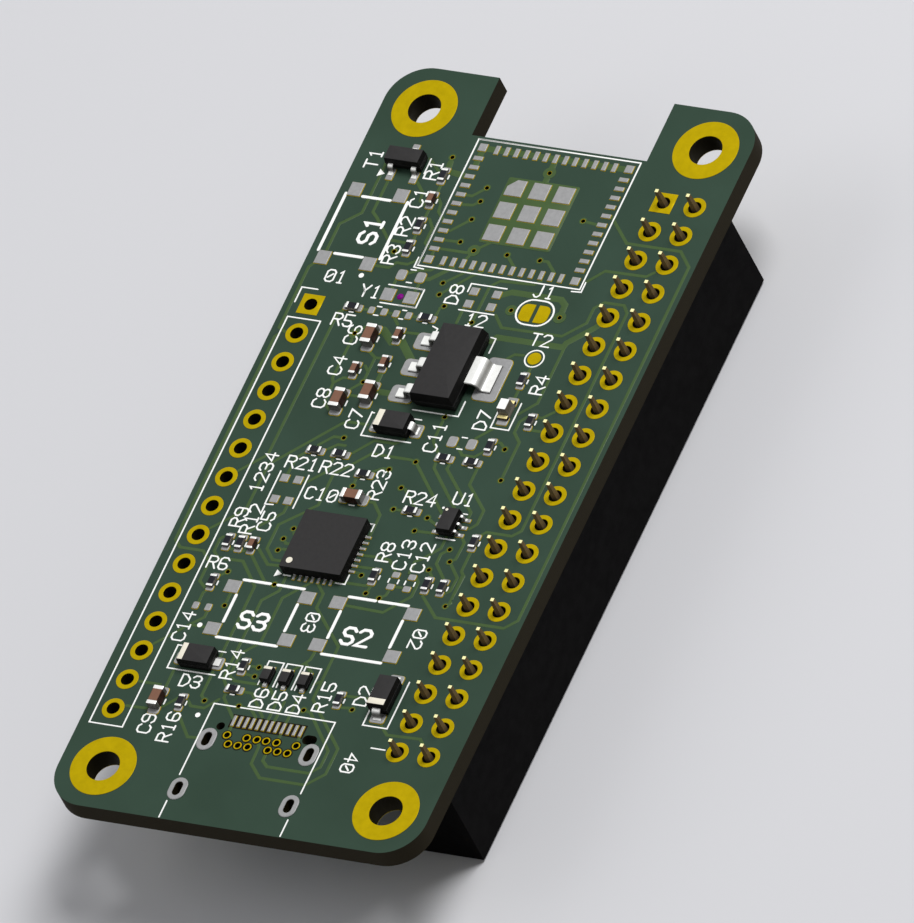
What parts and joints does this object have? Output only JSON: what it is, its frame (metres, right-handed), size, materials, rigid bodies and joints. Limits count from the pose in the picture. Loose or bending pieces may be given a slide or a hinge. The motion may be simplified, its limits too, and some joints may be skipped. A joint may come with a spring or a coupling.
{
  "type": "radio hat circuit board",
  "caption": "Rectangular circuit board with a header socket under one long edge, an antenna notch, plated corner holes, small chips and open pads for a radio module, buttons and a connector.",
  "frame": {"origin": "centre of the rectangle of mounting holes, in the plane of the board's underside", "axes": "+X from the antenna notch's end to the connector end, +Y towards the edge that carries the header socket, +Z out of the side with the chips"},
  "size_m": [0.065, 0.03, 0.0118],
  "materials": {
    "solder_mask": "satin green solder mask over a glass fibre laminate with gold plated lands",
    "socket_plastic": "matt black moulding",
    "contact_metal": "plated bright",
    "solder": "reflowed solder",
    "gold": "bright gold plating",
    "glue": "cured glue",
    "lens": "clear resin",
    "resistor": "dark film between tinned ends",
    "capacitor": "brown ceramic between tinned ends",
    "moulded_plastic": "moulded epoxy with tinned leads"
  },
  "bodies": {
    "root": {"board": "solder_mask", "bridge_chip": "moulded_plastic", "buffer_chip": "moulded_plastic", "button_pads": "solder", "capacitor_01": "capacitor", "capacitor_02": "capacitor", "capacitor_03": "capacitor", "capacitor_04": "capacitor", "capacitor_05": "capacitor", "capacitor_06": "capacitor", "capacitor_07": "capacitor", "capacitor_08": "capacitor", "capacitor_09": "capacitor", "capacitor_10": "capacitor", "clamp_diode_01": "moulded_plastic", "clamp_diode_02": "moulded_plastic", "clamp_diode_03": "moulded_plastic", "finger_pads": "solder", "flat_diode": "moulded_plastic", "formed_diode_01": "moulded_plastic", "formed_diode_02": "moulded_plastic", "glue_dot": "glue", "jumper_pads": "gold", "module_pads": "solder", "open_pads": "solder", "regulator": "moulded_plastic", "resistor_01": "resistor", "resistor_02": "resistor", "resistor_03": "resistor", "resistor_04": "resistor", "resistor_05": "resistor", "resistor_06": "resistor", "resistor_07": "resistor", "resistor_08": "resistor", "resistor_09": "resistor", "resistor_10": "resistor", "resistor_11": "resistor", "resistor_12": "resistor", "resistor_13": "resistor", "resistor_14": "resistor", "resistor_15": "resistor", "resistor_16": "resistor", "resistor_17": "resistor", "resistor_18": "resistor", "resistor_19": "resistor", "resistor_20": "resistor", "resistor_21": "resistor", "resistor_22": "resistor", "resistor_23": "resistor", "resistor_24": "resistor", "resistor_25": "resistor", "shell_pads": "solder", "socket_contacts": "contact_metal", "socket_housing": "socket_plastic", "status_light": "lens", "transistor": "moulded_plastic"}
  },
  "joints": []
}
